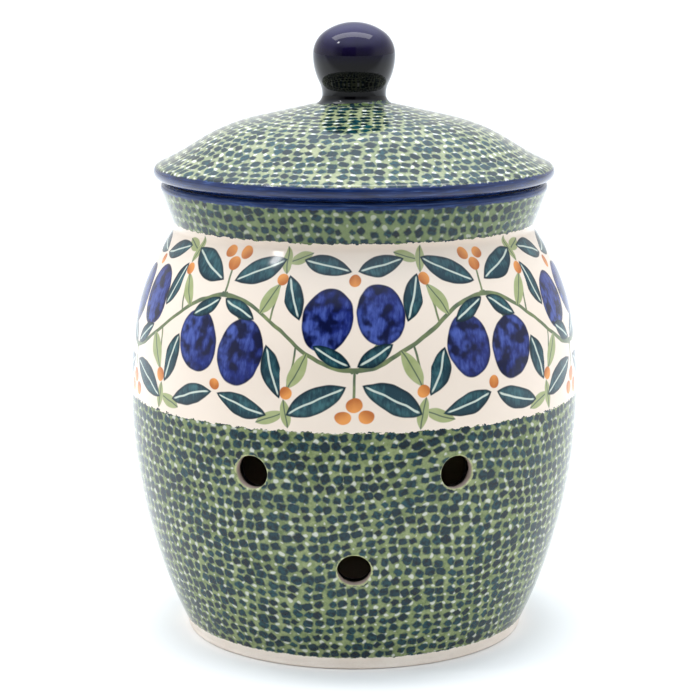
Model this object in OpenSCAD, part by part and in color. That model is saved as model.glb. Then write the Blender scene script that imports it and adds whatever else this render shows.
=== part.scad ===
// Onion keeper: a stoneware jar with vent holes in its wall and a lift-off domed lid.
// Millimetres, +Z up. The origin is the middle of the foot, on the surface it stands on,
// and the front of the jar faces -Y.

/* [Jar] */
// Height of the jar from the table to its rim
jar_h = 199; // [188:1:212]
// Diameter at the widest ring of the belly
belly_d = 198; // [188:1:210]
// Height of that widest ring
belly_h = 105; // [94:1:116]
// Radius of the shoulder's curve, from the belly to the neck
shoulder_r = 98; // [88:1:110]
// Diameter at the crease of the neck
neck_d = 157; // [150:1:164]
// Height of the flared collar above the neck's crease
collar_h = 20; // [15:0.5:26]
// Angle by which the collar flares outwards
collar_flare = 19.4; // [12:0.2:25]
// Radius of the hollow round the neck
neck_round = 3; // [1.5:0.5:6]
// Thickness of the wall
wall = 6.2; // [5:0.1:8]
// Rounding of the rim's outer edge
rim_round = 2.2; // [1:0.1:2.8]
// Rounding of the rim's inner edge
lip_round = 1.5; // [0.6:0.1:2]

/* [Foot and floor] */
// Diameter of the foot
foot_d = 150; // [140:1:160]
// Height of the foot's upright edge
foot_h = 2.2; // [1.6:0.1:5]
// Rounding of the foot's lower edge
foot_round = 1; // [0.4:0.1:1.4]
// Width of the ring that the jar stands on
foot_w = 9; // [5:0.5:16]
// Depth of the hollow inside that ring
recess_h = 1.8; // [0.8:0.1:3]
// Thickness of the floor above the hollow
floor_t = 8; // [6:0.5:12]
// Rounding between the floor and the wall
floor_round = 14; // [6:1:24]

/* [Vents] */
// Diameter of a vent hole
vent_d = 14; // [8:0.5:18]
// Height of the upper pair of vents
vent_high_z = 89; // [75:1:94]
// Height of the single vent below them
vent_low_z = 48; // [34:1:60]
// Angle from the single vent to each of the pair, seen from above
vent_spread = 25.3; // [15:0.1:40]
// How many groups of three vents there are round the jar
vent_groups = 2; // [1:1:3]

/* [Lid] */
// How far the lid's edge stands out past the rim
lid_overhang = 2.9; // [1.5:0.1:6]
// Radius of the lid's rounded edge
edge_r = 3.4; // [2.6:0.1:4]
// Gap left between the rim and the lid's edge
edge_gap = 1.1; // [0.6:0.1:2]
// Height of the lid's crown above the rim, where the knob stands on it
crown_h = 33.4; // [32:0.2:36]
// Slope of the crown round the knob
crown_slope = 12.8; // [10:0.2:15]
// Width of the sloping crown
crown_w = 27.6; // [22:0.2:32]
// Radius of the dome's curve
dome_r = 79; // [72:0.5:90]
// Radius of the hollow curve between the dome and the edge
flare_r = 132; // [100:2:200]
// Thickness of the lid
lid_t = 6; // [4.5:0.1:8]
// Depth of the flange that keeps the lid in the mouth
flange_h = 11; // [7:0.5:14]
// Thickness of the flange
flange_t = 5.5; // [4:0.5:8]
// Clearance between the flange and the collar
flange_gap = 1.2; // [0.6:0.1:3]

/* [Knob] */
// Height of the knob above the lid's crown
knob_h = 35; // [33.6:0.2:38]
// Diameter of the knob at its widest
knob_d = 35.8; // [34:0.2:40]
// Height of the knob above its widest ring
knob_cap_h = 14; // [13:0.2:15.4]
// Radius of the knob's side above the widest ring
knob_side_r = 12.2; // [10:0.1:12.6]
// Radius of the knob's side below the widest ring
knob_low_r = 27; // [22:0.5:34]
// Diameter of the knob's neck
knob_neck_d = 27.8; // [26:0.2:30]
// Radius of the hollow above the knob's neck
knob_neck_r = 11.5; // [10:0.5:14]
// Slope of the knob's foot where it meets the lid
knob_foot_slope = 25; // [16:1:40]

/* [Hidden] */
$fn = 128;

// Past the end of a cut
over = 1;
// How deep a curve runs into the one that it meets smoothly
blend = 0.003;

function unit(v) = v / norm(v);

// Belly: one arc from the foot's edge through the widest ring
belly_r = belly_d / 2;
foot_r = foot_d / 2;
arc_r = ((belly_r - foot_r) ^ 2 + (belly_h - foot_h) ^ 2) / (2 * (belly_r - foot_r));
arc_c = [belly_r - arc_r, belly_h];

// Shoulder: an arc that leaves the belly smoothly and passes through the neck's crease
neck = [neck_d / 2, jar_h - collar_h];
to_neck = neck - arc_c;
arm = arc_r - shoulder_r;
shoulder_a = atan2(to_neck[1], to_neck[0])
    - acos((to_neck * to_neck + arm ^ 2 - shoulder_r ^ 2) / (2 * arm * norm(to_neck)));
shoulder_c = arc_c + arm * [cos(shoulder_a), sin(shoulder_a)];

// Collar: a straight flare, with its direction up the wall and its normal out of it
collar_up = [sin(collar_flare), cos(collar_flare)];
collar_out = [cos(collar_flare), -sin(collar_flare)];

// Neck: a hollow arc that touches the shoulder and the collar
neck_from = neck + neck_round * collar_out - shoulder_c;
neck_rise = -neck_from * collar_up
    + sqrt((neck_from * collar_up) ^ 2 - neck_from * neck_from + (shoulder_r + neck_round) ^ 2);
neck_c = neck + neck_round * collar_out + neck_rise * collar_up;
neck_dir = unit(neck_c - shoulder_c);

// Distance from the axis to the collar's face, t below its outer surface, at height z
function collar_r(t, z) = neck[0] + (z - neck[1]) * tan(collar_flare) - t / cos(collar_flare);

// Rim: the centres of its two rounded edges
rim_c = [collar_r(rim_round, jar_h - rim_round), jar_h - rim_round];
lip_c = [collar_r(wall - lip_round, jar_h - lip_round), jar_h - lip_round];
rim_r = rim_c[0] + rim_round;

// Floor: its top, and the rounding that touches the floor and the wall
floor_z = recess_h + floor_t;
fillet_z = floor_z + floor_round;
fillet_arm = arc_r - wall - floor_round;
fillet_c = [arc_c[0] + sqrt(fillet_arm ^ 2 - (fillet_z - belly_h) ^ 2), fillet_z];
fillet_top = arc_c + (arc_r - wall) * unit(fillet_c - arc_c);

// Knob: its arcs, from the crown of the lid upwards
crown_z = jar_h + crown_h;
knob_r = knob_d / 2;
knob_z = crown_z + knob_h - knob_cap_h;
side_c = [knob_r - knob_side_r, knob_z];
cap_r = (knob_cap_h ^ 2 + side_c[0] ^ 2 - knob_side_r ^ 2) / (2 * (knob_cap_h - knob_side_r));
cap_c = [0, crown_z + knob_h - cap_r];
cap_edge = cap_c + cap_r * unit(side_c - cap_c);
knob_low_c = [knob_r - knob_low_r, knob_z];
hollow_x = knob_neck_d / 2 + knob_neck_r;
hollow_drop = sqrt((knob_low_r + knob_neck_r) ^ 2 - (hollow_x - knob_low_c[0]) ^ 2);
hollow_c = [hollow_x, knob_z - hollow_drop];
hollow_edge = knob_low_c + knob_low_r * unit(hollow_c - knob_low_c);

// Foot of the knob: an arc that leaves the neck upright and spreads on to the lid
foot_fall = max(hollow_c[1] - crown_z, over);
spread_r = foot_fall / cos(knob_foot_slope);
spread_c = [knob_neck_d / 2 + spread_r, crown_z + foot_fall];
knob_foot_r = spread_c[0] - spread_r * sin(knob_foot_slope);

// Lid: a sloping crown, a dome, a hollow flare and a rounded edge, each touching the next
lid_r = rim_r + lid_overhang;
crown_out = [sin(crown_slope), cos(crown_slope)];
crown_end = [knob_foot_r + crown_w, crown_z - crown_w * tan(crown_slope)];
dome_c = crown_end - dome_r * crown_out;
edge_c = [lid_r - edge_r, jar_h + edge_gap + edge_r];
to_edge = edge_c - dome_c;
flare_arm = dome_r + flare_r;
flare_a = atan2(to_edge[1], to_edge[0])
    + acos((flare_arm ^ 2 + to_edge * to_edge - (flare_r + edge_r) ^ 2)
        / (2 * flare_arm * norm(to_edge)));
flare_c = dome_c + flare_arm * [cos(flare_a), sin(flare_a)];
edge_top = edge_c + edge_r * unit(flare_c - edge_c);

// Flange: it clears the collar where it reaches deepest
flange_r = collar_r(wall, jar_h - flange_h) - flange_gap;
flange_in = flange_r - flange_t;

// The stretch of a section between two heights
module between(low, high) {
    intersection() {
        children();
        translate([0, low]) square([belly_d, high - low]);
    }
}

// The stretch of a section between two distances from the axis
module from_to(inner, outer) {
    intersection() {
        children();
        translate([inner, 0]) square([outer - inner, 2 * jar_h]);
    }
}

// A disc with its centre at c
module disc(c, r) {
    translate(c) circle(r);
}

// A rectangle between two corners
module block(low, high) {
    translate(low) square(high - low);
}

// Section inside the jar's outer surface, t below it, from one height to another on the collar
module jar_inside(t, low, high) {
    shoulder_low = belly_h + (arc_r - t) * sin(shoulder_a);
    neck_low = shoulder_c[1] + (shoulder_r - t) * neck_dir[1];
    neck_high = neck_c[1] - (neck_round + t) * collar_out[1];
    between(low, shoulder_low) disc(arc_c, arc_r - t);
    between(belly_h, neck_c[1]) disc(shoulder_c, shoulder_r - t + blend);
    difference() {
        block([0, neck_low], [neck_c[0], neck_high]);
        disc(neck_c, neck_round + t + blend);
    }
    polygon([
        [0, neck_c[1]],
        [collar_r(t, neck_c[1]), neck_c[1]],
        [collar_r(t, high), high],
        [0, high]
    ]);
}

// Outside of the jar: foot, belly, shoulder, neck, collar and the rim's outer edge
module jar_outline() {
    rim_low = rim_c[1] + rim_round * collar_out[1];
    foot_c = [foot_r - foot_round, foot_round];
    block([0, 0], [foot_c[0], foot_h]);
    block([0, foot_c[1]], [foot_r, foot_h + over]);
    between(0, foot_h) disc(foot_c, foot_round + blend);
    jar_inside(0, foot_c[1], rim_low);
    between(0, jar_h) {
        block([0, rim_low - over], [rim_c[0], jar_h + over]);
        disc(rim_c, rim_round + blend);
    }
}

// Space inside the jar: floor with a rounded corner, wall, throat and the rim's inner edge
module jar_cavity() {
    lip_low = lip_c[1] - lip_round * collar_out[1];
    block([0, floor_z], [fillet_c[0], fillet_top[1] + over]);
    between(floor_z, jar_h) disc(fillet_c, floor_round + blend);
    jar_inside(wall, fillet_top[1], jar_h + over);
    difference() {
        block([0, lip_low], [lip_c[0], jar_h + over]);
        disc(lip_c, lip_round + blend);
    }
}

// Hollow under the floor, with a sloping side
module foot_recess() {
    recess_r = foot_r - foot_w;
    polygon([
        [0, -over],
        [recess_r + over, -over],
        [recess_r - recess_h, recess_h],
        [0, recess_h]
    ]);
}

// Hole square to the wall, at an angle round the jar from the front and at a height
module vent(angle, z) {
    tilt = asin((z - belly_h) / arc_r);
    rotate(angle - 90) translate([arc_c[0] + arc_r * cos(tilt), 0, z]) rotate([0, 90 - tilt, 0])
        cylinder(h = 4 * wall, d = vent_d, center = true);
}

// Two vents side by side over a single one
module vent_group() {
    vent(0, vent_low_z);
    for (side = [-1, 1]) vent(side * vent_spread, vent_high_z);
}

module jar() {
    color("ivory") difference() {
        rotate_extrude() difference() {
            jar_outline();
            jar_cavity();
            foot_recess();
        }
        for (i = [0 : vent_groups - 1]) rotate(i * 360 / vent_groups) vent_group();
    }
}

// Section under the lid's upper surface, t below it, down to a height
module lid_inside(t, low) {
    slope_end = crown_end - t * crown_out;
    dome_end = dome_c[0] + (dome_r - t) * cos(flare_a);
    polygon([
        [0, low],
        [slope_end[0], low],
        slope_end,
        [knob_foot_r - t * tan(crown_slope / 2), crown_z - t],
        [0, crown_z - t]
    ]);
    between(low, crown_z) from_to(0, edge_c[0]) disc(dome_c, dome_r - t + blend);
    difference() {
        block([dome_end, low], [edge_top[0], crown_z]);
        disc(flare_c, flare_r + t + blend);
    }
}

// Underside of the lid: a flat seat on the rim that rises to the open gap at the edge
module lid_seat() {
    polygon([
        [0, jar_h],
        [rim_c[0], jar_h],
        [edge_c[0], edge_c[1] - edge_r / 2],
        [edge_c[0], edge_c[1] + over],
        [0, edge_c[1] + over]
    ]);
}

// Ring that hangs into the mouth, with a rounded lower end
module flange() {
    end_c = [flange_r - flange_t / 2, jar_h - flange_h + flange_t / 2];
    block([flange_in, end_c[1]], [flange_r, jar_h + over]);
    disc(end_c, flange_t / 2 + blend);
}

module lid() {
    color("olivedrab") rotate_extrude() {
        difference() {
            union() {
                lid_inside(0, edge_c[1]);
                lid_seat();
                disc(edge_c, edge_r);
            }
            from_to(0, flange_in) lid_inside(lid_t, jar_h - over);
        }
        flange();
    }
}

module knob() {
    color("midnightblue") rotate_extrude() from_to(0, knob_d) {
        between(cap_edge[1], crown_z + knob_h + over) disc(cap_c, cap_r);
        block([0, knob_z - over], [side_c[0], cap_edge[1] + over]);
        disc(side_c, knob_side_r + blend);
        between(hollow_c[1], knob_z) disc(knob_low_c, knob_low_r);
        difference() {
            block([0, spread_c[1]], [hollow_x, hollow_edge[1]]);
            disc(hollow_c, knob_neck_r + blend);
        }
        difference() {
            block([0, crown_z], [knob_foot_r, spread_c[1] + blend]);
            disc(spread_c, spread_r);
        }
    }
}

jar();
lid();
knob();
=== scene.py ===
"""Looks of a stoneware onion keeper: a pierced jar, its lift-off lid and the lid's knob.

Meshes are in metres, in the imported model's frame: +Z up the jar's axis, -Y to the front.
Sizes in the classes are millimetres, and put_mesh turns them to metres.
"""

import logging
import math
from collections.abc import Callable
from dataclasses import dataclass
from enum import Enum, IntEnum
from typing import Any

import bpy
import numpy as np
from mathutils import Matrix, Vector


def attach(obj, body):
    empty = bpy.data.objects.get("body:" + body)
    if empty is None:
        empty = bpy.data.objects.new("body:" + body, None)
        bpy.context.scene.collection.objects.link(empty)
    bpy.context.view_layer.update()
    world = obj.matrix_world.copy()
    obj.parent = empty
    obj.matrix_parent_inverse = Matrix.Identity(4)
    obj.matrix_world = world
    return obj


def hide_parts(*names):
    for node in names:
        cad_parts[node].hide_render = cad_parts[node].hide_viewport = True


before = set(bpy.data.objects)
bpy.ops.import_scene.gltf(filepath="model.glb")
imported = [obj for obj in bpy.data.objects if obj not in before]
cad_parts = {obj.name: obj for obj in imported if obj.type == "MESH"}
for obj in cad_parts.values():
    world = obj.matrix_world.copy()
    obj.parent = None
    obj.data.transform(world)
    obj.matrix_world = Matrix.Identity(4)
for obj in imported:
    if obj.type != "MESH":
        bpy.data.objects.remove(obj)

MM = 0.001
TURN = 2 * math.pi
# Where on the turn the map starts and ends, at the side
SEAM = math.pi / 2
# About how far apart the points of an outline lie
SPACING = 2.4
# The mark of a point that lies away from every vent
NO_VENT = 30.0
# The property that the second half of a node's kind sets
MODES = {
    "Math": "operation",
    "VectorMath": "operation",
    "VectorRotate": "rotation_type",
    "MapRange": "interpolation_type",
    "Mix": "data_type",
}
log = logging.getLogger("onion_keeper")


class Finish(IntEnum):
    """The finishes that a fired piece wears, in the order of its material slots."""

    SPONGED = 0
    LINING = 1
    BARE = 2
    PAINTED = 3


class Body(Enum):
    """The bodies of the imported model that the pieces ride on."""

    JAR = "jar"
    LID = "lid"


def linear(code: str) -> tuple[float, float, float, float]:
    """Turns an sRGB hex colour into linear light.

    Args:
        code: colour such as "#34465C".

    Returns:
        Red, green, blue and an alpha of 1.
    """
    parts = [int(code[i : i + 2], 16) / 255 for i in (1, 3, 5)]
    red, green, blue = (
        c / 12.92 if c <= 0.04045 else ((c + 0.055) / 1.055) ** 2.4 for c in parts
    )
    return red, green, blue, 1.0


def unit(vector: np.ndarray) -> np.ndarray:
    """Returns the vector at length 1."""
    return vector / np.linalg.norm(vector)


def angle(vector: np.ndarray) -> float:
    """Returns the direction of a section vector, in radians from the outward axis."""
    return math.atan2(vector[1], vector[0])


def toward(direction: float) -> np.ndarray:
    """Returns the section vector of length 1 in a direction."""
    return np.array([math.cos(direction), math.sin(direction)])


def arc(
    centre: np.ndarray, radius: float, start: float, end: float, step: float = SPACING
) -> np.ndarray:
    """Points of a circular arc: centre + radius * (cos a, sin a), with a even from start to end.

    Args:
        centre: middle of the arc, as distance from the axis and height.
        radius: its radius.
        start: first angle in radians.
        end: last angle in radians.
        step: about how far apart the points lie.

    Returns:
        Array of points, one row each.
    """
    count = max(5, math.ceil(abs(end - start) * radius / step) + 1)
    a = np.linspace(start, end, count)
    return np.column_stack((centre[0] + radius * np.cos(a), centre[1] + radius * np.sin(a)))


def straight(start: Any, end: Any, step: float = SPACING) -> np.ndarray:
    """Points of a straight run, evenly spaced from start to end.

    Args:
        start: first point.
        end: last point.
        step: about how far apart the points lie.

    Returns:
        Array of points, one row each.
    """
    start, end = np.asarray(start, float), np.asarray(end, float)
    share = np.linspace(0, 1, max(2, math.ceil(np.linalg.norm(end - start) / step) + 1))
    return start + share[:, None] * (end - start)


def soften(corners: list[tuple[float, float]], radius: float, steps: int = 5) -> np.ndarray:
    """A polyline whose inner corners are worn round.

    Each corner c between a point a before it and a point b after it becomes the curve
    (1-s)^2 a + 2 s (1-s) c + s^2 b, where a and b lie one radius from c on its two sides.

    Args:
        corners: points of the polyline.
        radius: how far from a corner the rounding starts.
        steps: points in each rounding.

    Returns:
        Array of points, one row each.
    """
    line = np.asarray(corners, float)
    corner = line[1:-1]
    sides = []
    for beside in (line[:-2], line[2:]):
        way = beside - corner
        far = np.linalg.norm(way, axis=1)[:, None]
        sides.append(corner + way / far * np.minimum(radius, far / 2))
    a, b = (side[:, None] for side in sides)
    s = np.linspace(0, 1, steps)[None, :, None]
    bends = (1 - s) ** 2 * a + 2 * s * (1 - s) * corner[:, None] + s**2 * b
    return np.vstack((line[:1], bends.reshape(-1, 2), line[-1:]))


class Outline:
    """A section drawn run by run, with the finish that each run wears."""

    def __init__(self) -> None:
        """Starts an empty outline."""
        self.section = np.empty((0, 2))
        self.finishes = np.empty(0, int)

    def run(self, points: np.ndarray, finish: Finish) -> int:
        """Adds a run of points that starts where the last one ended.

        Args:
            points: the run, one row each.
            finish: what the surface between its points wears.

        Returns:
            Row of the run's first point.
        """
        joined = len(self.section) > 0 and np.linalg.norm(self.section[-1] - points[0]) < 1e-4
        fresh = points[1:] if joined else points
        spans = len(fresh) if len(self.section) else len(fresh) - 1
        self.section = np.vstack((self.section, fresh))
        self.finishes = np.append(self.finishes, np.full(spans, int(finish)))
        return len(self.section) - len(points)

    def lengths(self) -> np.ndarray:
        """Returns the distance along the outline from its start to each point."""
        return np.append(0, np.cumsum(np.linalg.norm(np.diff(self.section, axis=0), axis=1)))


class Turning:
    """An outline turned round the Z axis: (r sin a, -r cos a, z), with a even over one turn.

    The outline starts and ends on the axis, where the rings close in a fan of triangles.
    """

    def __init__(self, outline: Outline, reach: np.ndarray, columns: int) -> None:
        """Turns the outline.

        Args:
            outline: the section, from the axis round to the axis.
            reach: what the map's second coordinate is at each point of the section.
            columns: how many steps there are in one turn.
        """
        self.columns = columns
        self.step = TURN / columns
        rows = len(outline.section)
        ring = outline.section[1:-1]
        a = SEAM + self.step * np.arange(columns)
        height = np.broadcast_to(ring[:, 1:], (rows - 2, columns))
        grid = np.stack((ring[:, :1] * np.sin(a), -ring[:, :1] * np.cos(a), height), axis=-1)
        poles = np.array([[0, 0, outline.section[0, 1]], [0, 0, outline.section[-1, 1]]])
        self.points = np.vstack((poles[:1], grid.reshape(-1, 3), poles[1:]))
        turn = np.broadcast_to(np.arange(columns) / columns, (rows - 2, columns))
        run = np.broadcast_to(reach[1:-1, None], (rows - 2, columns))
        inner = np.stack((turn, run), axis=-1).reshape(-1, 2)
        self.chart = np.vstack(([[0.5, reach[0]]], inner, [[0.5, reach[-1]]]))
        row, col = np.meshgrid(np.arange(1, rows - 2), np.arange(columns), indexing="ij")
        corners = ((row, col), (row, col + 1), (row + 1, col + 1), (row + 1, col))
        self.quads = np.stack([self.vertex(*corner) for corner in corners], axis=-1)
        self.kept = np.ones((rows - 3, columns), bool)
        self.spans = np.broadcast_to(outline.finishes[1:-1, None], (rows - 3, columns))
        c = np.arange(columns)
        first, last = np.zeros_like(c), np.full_like(c, len(self.points) - 1)
        low = np.column_stack((first, self.vertex(1, c + 1), self.vertex(1, c)))
        high = np.column_stack((self.vertex(rows - 2, c), self.vertex(rows - 2, c + 1), last))
        self.triangles = np.vstack((low, high))
        self.fans = np.repeat([outline.finishes[0], outline.finishes[-1]], columns)
        self.patches: list[np.ndarray] = []
        self.patch_finishes: list[np.ndarray] = []
        self.edge = np.full(len(self.points), NO_VENT)

    def vertex(self, row: Any, col: Any) -> Any:
        """Returns the vertex number at a row and column, round the turn."""
        return 1 + (row - 1) * self.columns + col % self.columns

    def patch(
        self,
        loops: tuple[np.ndarray, np.ndarray],
        rings: np.ndarray,
        chart: np.ndarray,
        edge: np.ndarray,
        finishes: np.ndarray,
    ) -> None:
        """Joins two loops of kept vertices by a tube of new rings.

        Args:
            loops: vertex numbers of the loops where the tube starts and ends.
            rings: new points, ring by ring.
            chart: map coordinates of the new points.
            edge: distance of the new points from a vent's edge, negative inside the hole.
            finishes: finish of each strip of faces from ring to ring.
        """
        count, around = rings.shape[:2]
        fresh = len(self.points) + np.arange(count * around).reshape(count, around)
        all_loops = np.vstack((loops[0], fresh, loops[1]))
        after = np.roll(all_loops, -1, axis=1)
        faces = np.stack((all_loops[:-1], after[:-1], after[1:], all_loops[1:]), axis=-1)
        self.points = np.vstack((self.points, rings.reshape(-1, 3)))
        self.chart = np.vstack((self.chart, chart.reshape(-1, 2)))
        self.edge = np.append(self.edge, edge)
        self.patches.append(faces.reshape(-1, 4))
        self.patch_finishes.append(np.repeat(finishes, around))

    def faces(self) -> tuple[np.ndarray, np.ndarray, np.ndarray]:
        """Gathers what the mesh needs.

        Returns:
            Triangles, quads, and the finish of every face, triangles first.
        """
        quads = np.vstack((self.quads[self.kept], *self.patches))
        finishes = np.concatenate((self.fans, self.spans[self.kept], *self.patch_finishes))
        return self.triangles, quads, finishes


def show(name: str, data: Any) -> bpy.types.Object:
    """Puts data into the scene as an object.

    Args:
        name: name of the object.
        data: mesh, light or camera.

    Returns:
        The new object, at the origin.
    """
    made = bpy.data.objects.new(name, data)
    bpy.context.scene.collection.objects.link(made)
    return made


def put_mesh(
    name: str, turning: Turning, materials: list[bpy.types.Material]
) -> bpy.types.Object:
    """Makes the object of a turned piece, with its map "turning" and its mark "vent_edge".

    The map holds the share of a turn and the reach along the outline in millimetres. A face
    across the map's seam gets its far corners one whole turn on.

    Args:
        name: name of the piece.
        turning: its surface.
        materials: what it wears, in the order of Finish.

    Returns:
        The new object, at the origin.
    """
    triangles, quads, finishes = turning.faces()
    mesh = bpy.data.meshes.new(name)
    mesh.from_pydata((turning.points * MM).tolist(), [], triangles.tolist() + quads.tolist())
    for material in materials:
        mesh.materials.append(material)
    slots = np.minimum(finishes, len(materials) - 1).astype(np.int32)
    mesh.polygons.foreach_set("material_index", slots)
    mesh.polygons.foreach_set("use_smooth", np.ones(len(finishes), bool))
    corners = []
    for group in (triangles, quads):
        chart = turning.chart[group]
        turn = chart[..., 0]
        across = np.ptp(turn, axis=1) > 0.5
        turn[across[:, None] & (turn < 0.5)] += 1
        corners.append(chart.reshape(-1, 2))
    layer = mesh.uv_layers.new(name="turning")
    layer.data.foreach_set("uv", np.concatenate(corners).astype(np.float32).ravel())
    mark = mesh.attributes.new("vent_edge", "FLOAT", "POINT")
    mark.data.foreach_set("value", turning.edge.astype(np.float32))
    mesh.update()
    return show(name, mesh)


class Mixer:
    """The node tree of one finish or light while it is being mixed."""

    def __init__(self, tree: bpy.types.NodeTree) -> None:
        """Clears the tree."""
        self.tree = tree
        tree.nodes.clear()

    def add(
        self, kind: str, *feeds: Any, out: str = "", named: dict | None = None, **settings: Any
    ) -> Any:
        """Adds one node, with its settings and its links.

        Args:
            kind: the node's type without its prefix, and its mode after a dot: "Math.ADD".
            feeds: sockets, constants or hex colours for its live inputs, in order, None to leave
                one as it is.
            out: name of the output to return, the first live one if empty.
            named: sockets or constants for inputs by name.
            settings: the node's other properties.

        Returns:
            The chosen output socket, or None for a node that has none.
        """
        base, _, mode = kind.partition(".")
        node = self.tree.nodes.new("ShaderNode" + base)
        if mode:
            setattr(node, MODES[base], mode)
        for key, value in settings.items():
            setattr(node, key, value)
        live = [socket for socket in node.inputs if socket.enabled]
        pairs = list(zip(live, feeds)) + [(node.inputs[k], v) for k, v in (named or {}).items()]
        for socket, feed in pairs:
            if isinstance(feed, bpy.types.NodeSocket):
                self.tree.links.new(feed, socket)
            elif feed is not None:
                socket.default_value = linear(feed) if isinstance(feed, str) else feed
        results = [socket for socket in node.outputs if socket.enabled]
        return node.outputs[out] if out else (results[0] if results else None)


class FinishMixer(Mixer):
    """The node tree of a finish, with object coordinates at hand as its place."""

    def __init__(self, name: str) -> None:
        """Starts a new material.

        Args:
            name: name of the material.
        """
        self.material = bpy.data.materials.new(name)
        self.material.use_nodes = True
        super().__init__(self.material.node_tree)
        self.place = self.add("TexCoord", out="Object")

    def chart(self) -> tuple[Any, Any, Any]:
        """Reads the piece's map.

        Returns:
            The map's vector, its share of a turn and its reach in millimetres.
        """
        chart = self.add("UVMap", uv_map="turning")
        reach = self.add("SeparateXYZ", chart, out="Y")
        return chart, reach.node.outputs["X"], reach

    def frayed(self, reach: Any, swing: float, grain_mm: float = 2.6) -> tuple[Any, Any]:
        """Lets a boundary wander: the reach plus the swing times a noise from -1/2 to 1/2.

        Args:
            reach: distance along the outline in millimetres.
            swing: how far the boundary wanders in all.
            grain_mm: size of the noise.

        Returns:
            The noise, and the wandering reach.
        """
        fray = self.add("TexNoise", self.place, 1 / (grain_mm * MM), 2.0, 0.6)
        return fray, self.add(
            "Math.MULTIPLY_ADD", fray, swing, self.add("Math.SUBTRACT", reach, swing / 2)
        )

    def slacken(self, chart: Any, girth: float, *noises: tuple[float, float]) -> tuple[Any, Any]:
        """Shifts the map by noises, so that rows wander as a hand's do.

        Args:
            chart: the map's vector.
            girth: millimetres in one turn.
            noises: size and swing of each noise in millimetres.

        Returns:
            Share of a turn and reach, both shifted.
        """
        for size, swing in noises:
            noise = self.add("TexNoise", self.place, 1 / (size * MM), 1.0, 0.5, out="Color")
            most = (swing / girth, swing, 0.0)
            half = (swing / girth / 2, swing / 2, 0.0)
            chart = self.add("VectorMath.MULTIPLY_ADD", noise, most, chart)
            chart = self.add("VectorMath.SUBTRACT", chart, half)
        reach = self.add("SeparateXYZ", chart, out="Y")
        return reach.node.outputs["X"], reach

    def close(
        self, colour: Any, roughness: Any, ior: float, height: Any, depth: float
    ) -> bpy.types.Material:
        """Ends the tree with a shader whose surface is a little uneven.

        Args:
            colour: its base colour.
            roughness: socket or constant.
            ior: its index of refraction.
            height: noise of the unevenness.
            depth: how deep that is in millimetres.

        Returns:
            The finished material.
        """
        relief = {"Height": height, "Distance": depth * MM, "Strength": 1.0}
        normal = self.add("Bump", named=relief)
        feeds = {"Base Color": colour, "Roughness": roughness, "IOR": ior, "Normal": normal}
        self.add("OutputMaterial", self.add("BsdfPrincipled", named=feeds))
        return self.material


@dataclass(frozen=True)
class BareClay:
    """Fired stoneware without glaze, as it leaves the kiln: dry, pale, warm and finely gritty."""

    pale: str = "#FFF4E8"
    dark: str = "#F0E1D2"
    grit_mm: float = 0.9
    grit_depth: float = 0.05
    blush_mm: float = 22.0
    roughness: float = 0.72
    ior: float = 1.5

    def grit(self, mix: FinishMixer) -> Any:
        """Returns the noise of the clay's grit."""
        return mix.add("TexNoise", mix.place, 1 / (self.grit_mm * MM), 3.0, 0.7)

    def colour(self, mix: FinishMixer) -> Any:
        """Mixes the clay's colour.

        Args:
            mix: the tree to add to.

        Returns:
            Colour socket.
        """
        blush = mix.add("TexNoise", mix.place, 1 / (self.blush_mm * MM), 2.0, 0.5)
        amount = mix.add("Math.ADD", mix.add("Math.MULTIPLY", self.grit(mix), 0.45), blush)
        share = mix.add("MapRange", amount, 0.45, 1.0)
        return mix.add("Mix.RGBA", share, self.pale, self.dark)

    def material(self) -> bpy.types.Material:
        """Mixes the clay as a finish of its own.

        Returns:
            The finished material.
        """
        mix = FinishMixer("bare_stoneware_fired")
        uneven = (self.grit(mix), self.grit_depth)
        return mix.close(self.colour(mix), self.roughness, self.ior, *uneven)


@dataclass(frozen=True)
class ClearGlaze:
    """Clear gloss glaze run over the stoneware: a hard wet shine that ripples a little."""

    ior: float = 1.38
    gloss: float = 0.1
    ripple_mm: float = 13.0
    ripple_depth: float = 0.035

    def coat(self, mix: FinishMixer, colour: Any, roughness: Any = None) -> bpy.types.Material:
        """Lays the glaze over a colour, with its slow ripple, and ends the tree.

        Args:
            mix: the tree to add to.
            colour: what lies under the glaze.
            roughness: socket where it changes from place to place, the gloss if None.

        Returns:
            The finished material.
        """
        ripple = mix.add("TexNoise", mix.place, 1 / (self.ripple_mm * MM), 1.0, 0.4)
        rough = self.gloss if roughness is None else roughness
        return mix.close(colour, rough, self.ior, ripple, self.ripple_depth)


@dataclass(frozen=True)
class BuffLining:
    """Clear glaze over buff clay, as inside the jar and the lid: soft clouds and iron freckles."""

    buff: str = "#C6B7A4"
    pale: str = "#D6C8B6"
    iron: str = "#97806A"
    cloud_mm: float = 30.0
    freckle_mm: float = 1.4

    def material(self) -> bpy.types.Material:
        """Mixes the lining.

        Returns:
            The finished material.
        """
        mix = FinishMixer("clear_glazed_stoneware_lining")
        cloud = mix.add("TexNoise", mix.place, 1 / (self.cloud_mm * MM), 3.0, 0.6)
        freckle = mix.add("TexNoise", mix.place, 1 / (self.freckle_mm * MM), 2.0, 0.6)
        colour = mix.add("Mix.RGBA", cloud, self.buff, self.pale)
        spots = mix.add("MapRange", freckle, 0.7, 0.76, 0.0, 0.5)
        colour = mix.add("Mix.RGBA", spots, colour, self.iron)
        return ClearGlaze().coat(mix, colour)


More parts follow.
